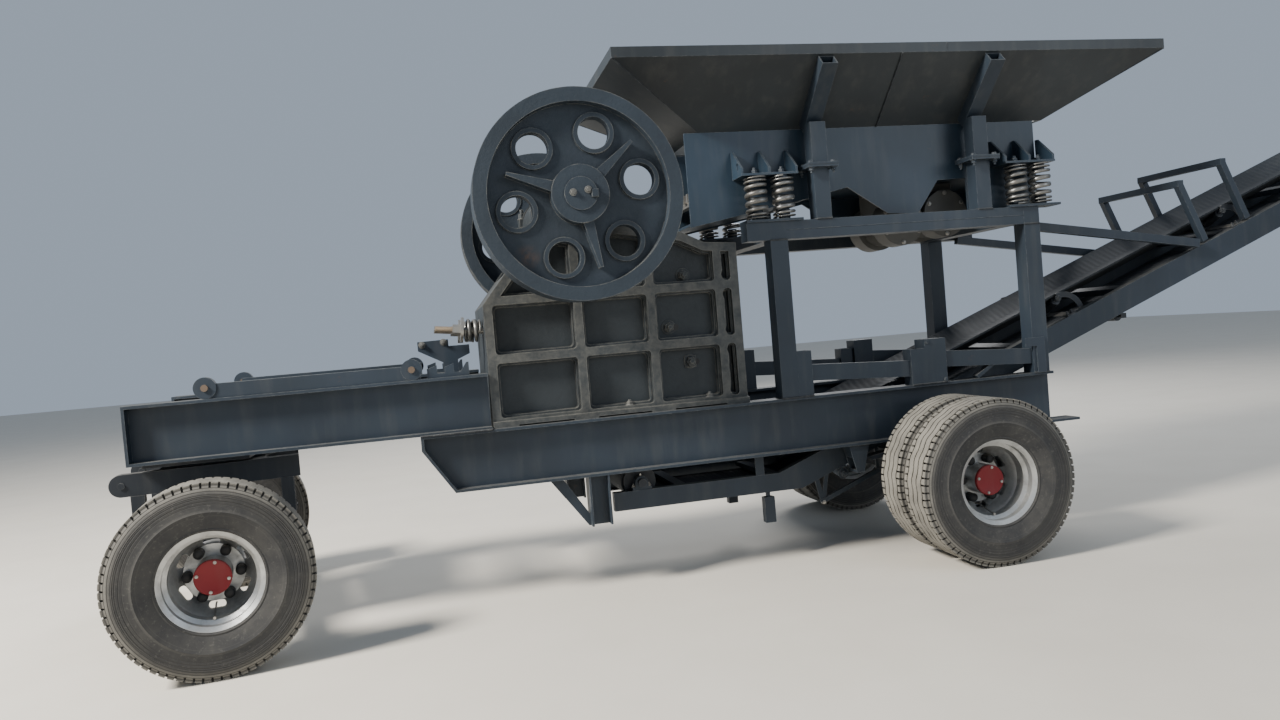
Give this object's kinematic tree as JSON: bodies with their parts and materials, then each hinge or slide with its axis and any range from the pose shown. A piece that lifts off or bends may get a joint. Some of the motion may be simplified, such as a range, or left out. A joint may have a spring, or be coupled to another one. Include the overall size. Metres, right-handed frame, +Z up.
{
  "type": "mobile jaw crusher",
  "caption": "Wheeled jaw crushing plant: ribbed jaw crusher with flywheels, spring-mounted feeder with flared hopper, and a rising discharge belt conveyor.",
  "frame": {"origin": "middle of the plant's length and width, at ground level under the tyres", "axes": "+X along the plant towards the conveyor's high end, +Y to the side away from the camera, +Z up"},
  "size_m": [8.4355, 2.174, 2.775],
  "materials": {
    "chassis_paint": "weathered satin paint",
    "dark_paint": "dusty satin paint",
    "cast_paint": "rough painted casting",
    "bare_steel": "worn",
    "silver_paint": "dusty silver paint",
    "tyre_rubber": "matte",
    "belt_rubber": "matte ribbed"
  },
  "bodies": {
    "plant": {"rear_beams": "chassis_paint", "front_beams": "chassis_paint", "cross_members": "chassis_paint", "deck_bars": "chassis_paint", "parking_legs": "chassis_paint", "turntable": "dark_paint", "rear_axle": "dark_paint", "leaf_springs": "dark_paint", "spring_hangers": "chassis_paint", "side_frame_near": "cast_paint", "side_frame_far": "cast_paint", "front_wall": "cast_paint", "rear_wall": "cast_paint", "fixed_jaw_plate": "bare_steel", "cheek_plates": "bare_steel", "bearing_housings": "cast_paint", "toggle_plate": "cast_paint", "tension_rods": "bare_steel", "tension_springs": "bare_steel", "trough": "chassis_paint", "grizzly_bars": "bare_steel", "vibrating_motors": "dark_paint", "feeder_springs": "dark_paint", "hopper": "chassis_paint", "hopper_legs": "chassis_paint", "frame_posts": "chassis_paint", "frame_rails": "chassis_paint", "conveyor_frame": "chassis_paint", "belt": "belt_rubber", "rollers": "dark_paint", "conveyor_hoops": "chassis_paint"},
    "dolly": {"dolly_frame": "dark_paint", "front_axle": "dark_paint", "dolly_springs": "dark_paint"},
    "front_wheel_near": {"front_tyre_near": "tyre_rubber", "front_rim_near": "silver_paint"},
    "front_wheel_far": {"front_tyre_far": "tyre_rubber", "front_rim_far": "silver_paint"},
    "rear_wheels_near": {"rear_tyres_near": "tyre_rubber", "rear_rims_near": "silver_paint"},
    "rear_wheels_far": {"rear_tyres_far": "tyre_rubber", "rear_rims_far": "silver_paint"},
    "rotor": {"eccentric_shaft": "bare_steel", "flywheel_near": "cast_paint", "flywheel_far": "cast_paint"},
    "swing_jaw": {"swing_jaw": "cast_paint", "swing_jaw_plate": "bare_steel"}
  },
  "joints": [
    {"name": "steering", "type": "hinge", "parent": "plant", "child": "dolly", "pos_m": [-3.66243, 0, 0.8], "axis": [0, 0, 1], "range_deg": [-53, 37]},
    {"name": "front_wheel_near_spin", "type": "hinge", "parent": "dolly", "child": "front_wheel_near", "pos_m": [-3.54079, -0.86549, 0.43], "axis": [-0.1392, 0.9903, 0], "continuous": true},
    {"name": "front_wheel_far_spin", "type": "hinge", "parent": "dolly", "child": "front_wheel_far", "pos_m": [-3.78407, 0.86549, 0.43], "axis": [-0.1392, 0.9903, 0], "continuous": true},
    {"name": "rear_wheels_near_spin", "type": "hinge", "parent": "plant", "child": "rear_wheels_near", "pos_m": [0.23057, -0.9, 0.43], "axis": [0, 1, 0], "continuous": true},
    {"name": "rear_wheels_far_spin", "type": "hinge", "parent": "plant", "child": "rear_wheels_far", "pos_m": [0.23057, 0.9, 0.43], "axis": [0, 1, 0], "continuous": true},
    {"name": "rotor_spin", "type": "hinge", "parent": "plant", "child": "rotor", "pos_m": [-1.76243, 0, 2.025], "axis": [0, 1, 0], "continuous": true},
    {"name": "jaw_swing", "type": "hinge", "parent": "rotor", "child": "swing_jaw", "pos_m": [-1.76243, 0, 2.013], "axis": [0, 1, 0], "continuous": true}
  ],
  "couplings": [
    {"joint": "jaw_swing", "follows": "rotor_spin", "ratio": -1}
  ]
}
